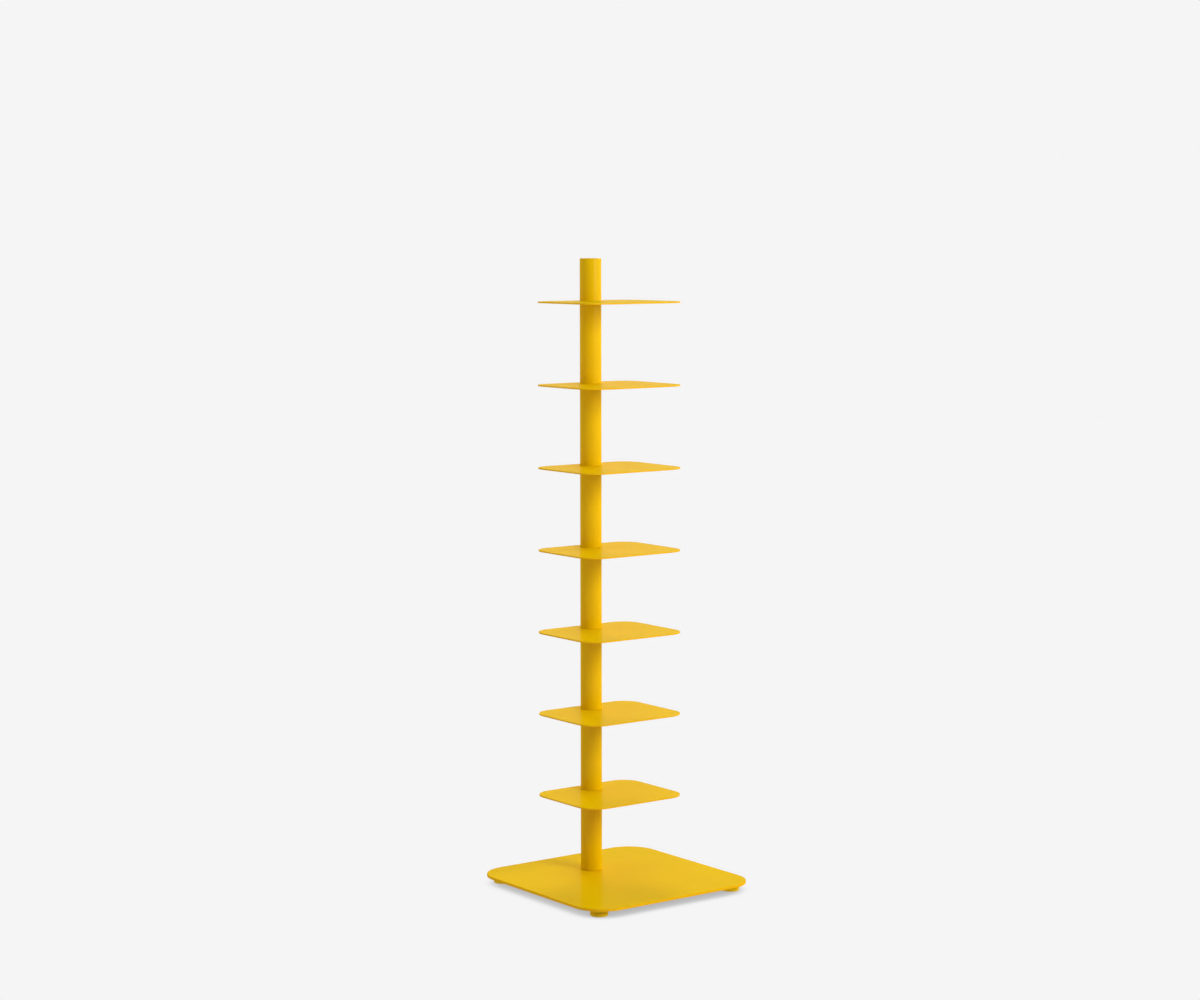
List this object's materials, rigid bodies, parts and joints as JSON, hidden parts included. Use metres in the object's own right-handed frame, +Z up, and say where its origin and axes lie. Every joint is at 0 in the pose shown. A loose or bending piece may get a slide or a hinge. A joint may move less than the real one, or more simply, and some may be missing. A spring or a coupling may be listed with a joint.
{
  "type": "spine bookshelf",
  "caption": "Free-standing spine bookshelf: thin flat shelves with round corners on one round steel column, standing on a square base plate with screw-in levelling feet.",
  "frame": {"origin": "on the floor, under the middle of the base plate", "axes": "+Z up along the column; -Y is the front, the side that the shelves reach out to; +X is the right as seen from the front"},
  "size_m": [0.35, 0.35, 1.0815],
  "materials": {
    "yellow_powder_coat": "satin, fine-textured powder coat",
    "plain_steel": "bright zinc-plated",
    "yellow_cap_plastic": "satin, moulded in the frame's colour",
    "grey_pad_plastic": "matt"
  },
  "bodies": {
    "frame": {"base_plate": "yellow_powder_coat", "column_tube": "yellow_powder_coat", "column_cap": "yellow_cap_plastic", "column_plug": "plain_steel", "shelf_1": "yellow_powder_coat", "shelf_2": "yellow_powder_coat", "shelf_3": "yellow_powder_coat", "shelf_4": "yellow_powder_coat", "shelf_5": "yellow_powder_coat", "shelf_6": "yellow_powder_coat", "shelf_7": "yellow_powder_coat", "shelf_welds": "yellow_powder_coat", "base_screws": "plain_steel", "base_washers": "plain_steel", "foot_boss_1": "yellow_powder_coat", "foot_boss_2": "yellow_powder_coat", "foot_boss_3": "yellow_powder_coat", "foot_boss_4": "yellow_powder_coat"},
    "foot_pad_1": {"foot_pad_1": "grey_pad_plastic"},
    "foot_1": {"foot_glide_1": "yellow_powder_coat", "foot_stud_1": "plain_steel"},
    "foot_pad_2": {"foot_pad_2": "grey_pad_plastic"},
    "foot_2": {"foot_glide_2": "yellow_powder_coat", "foot_stud_2": "plain_steel"},
    "foot_pad_3": {"foot_pad_3": "grey_pad_plastic"},
    "foot_3": {"foot_glide_3": "yellow_powder_coat", "foot_stud_3": "plain_steel"},
    "foot_pad_4": {"foot_pad_4": "grey_pad_plastic"},
    "foot_4": {"foot_glide_4": "yellow_powder_coat", "foot_stud_4": "plain_steel"}
  },
  "joints": [
    {"name": "foot_1_lift", "type": "slide", "parent": "frame", "child": "foot_pad_1", "axis": [0, 0, 1], "range_m": [-0.003, 0]},
    {"name": "foot_1_turn", "type": "hinge", "parent": "foot_pad_1", "child": "foot_1", "pos_m": [-0.1405, -0.1405, 0.0065], "axis": [0, 0, 1], "range_deg": [-864, 0]},
    {"name": "foot_2_lift", "type": "slide", "parent": "frame", "child": "foot_pad_2", "axis": [0, 0, 1], "range_m": [-0.003, 0]},
    {"name": "foot_2_turn", "type": "hinge", "parent": "foot_pad_2", "child": "foot_2", "pos_m": [0.1405, -0.1405, 0.0065], "axis": [0, 0, 1], "range_deg": [-864, 0]},
    {"name": "foot_3_lift", "type": "slide", "parent": "frame", "child": "foot_pad_3", "axis": [0, 0, 1], "range_m": [-0.003, 0]},
    {"name": "foot_3_turn", "type": "hinge", "parent": "foot_pad_3", "child": "foot_3", "pos_m": [0.1405, 0.1405, 0.0065], "axis": [0, 0, 1], "range_deg": [-864, 0]},
    {"name": "foot_4_lift", "type": "slide", "parent": "frame", "child": "foot_pad_4", "axis": [0, 0, 1], "range_m": [-0.003, 0]},
    {"name": "foot_4_turn", "type": "hinge", "parent": "foot_pad_4", "child": "foot_4", "pos_m": [-0.1405, 0.1405, 0.0065], "axis": [0, 0, 1], "range_deg": [-864, 0]}
  ],
  "couplings": [
    {"joint": "foot_1_lift", "follows": "foot_1_turn", "m_per_rad": 0.00019894},
    {"joint": "foot_2_lift", "follows": "foot_2_turn", "m_per_rad": 0.00019894},
    {"joint": "foot_3_lift", "follows": "foot_3_turn", "m_per_rad": 0.00019894},
    {"joint": "foot_4_lift", "follows": "foot_4_turn", "m_per_rad": 0.00019894}
  ]
}
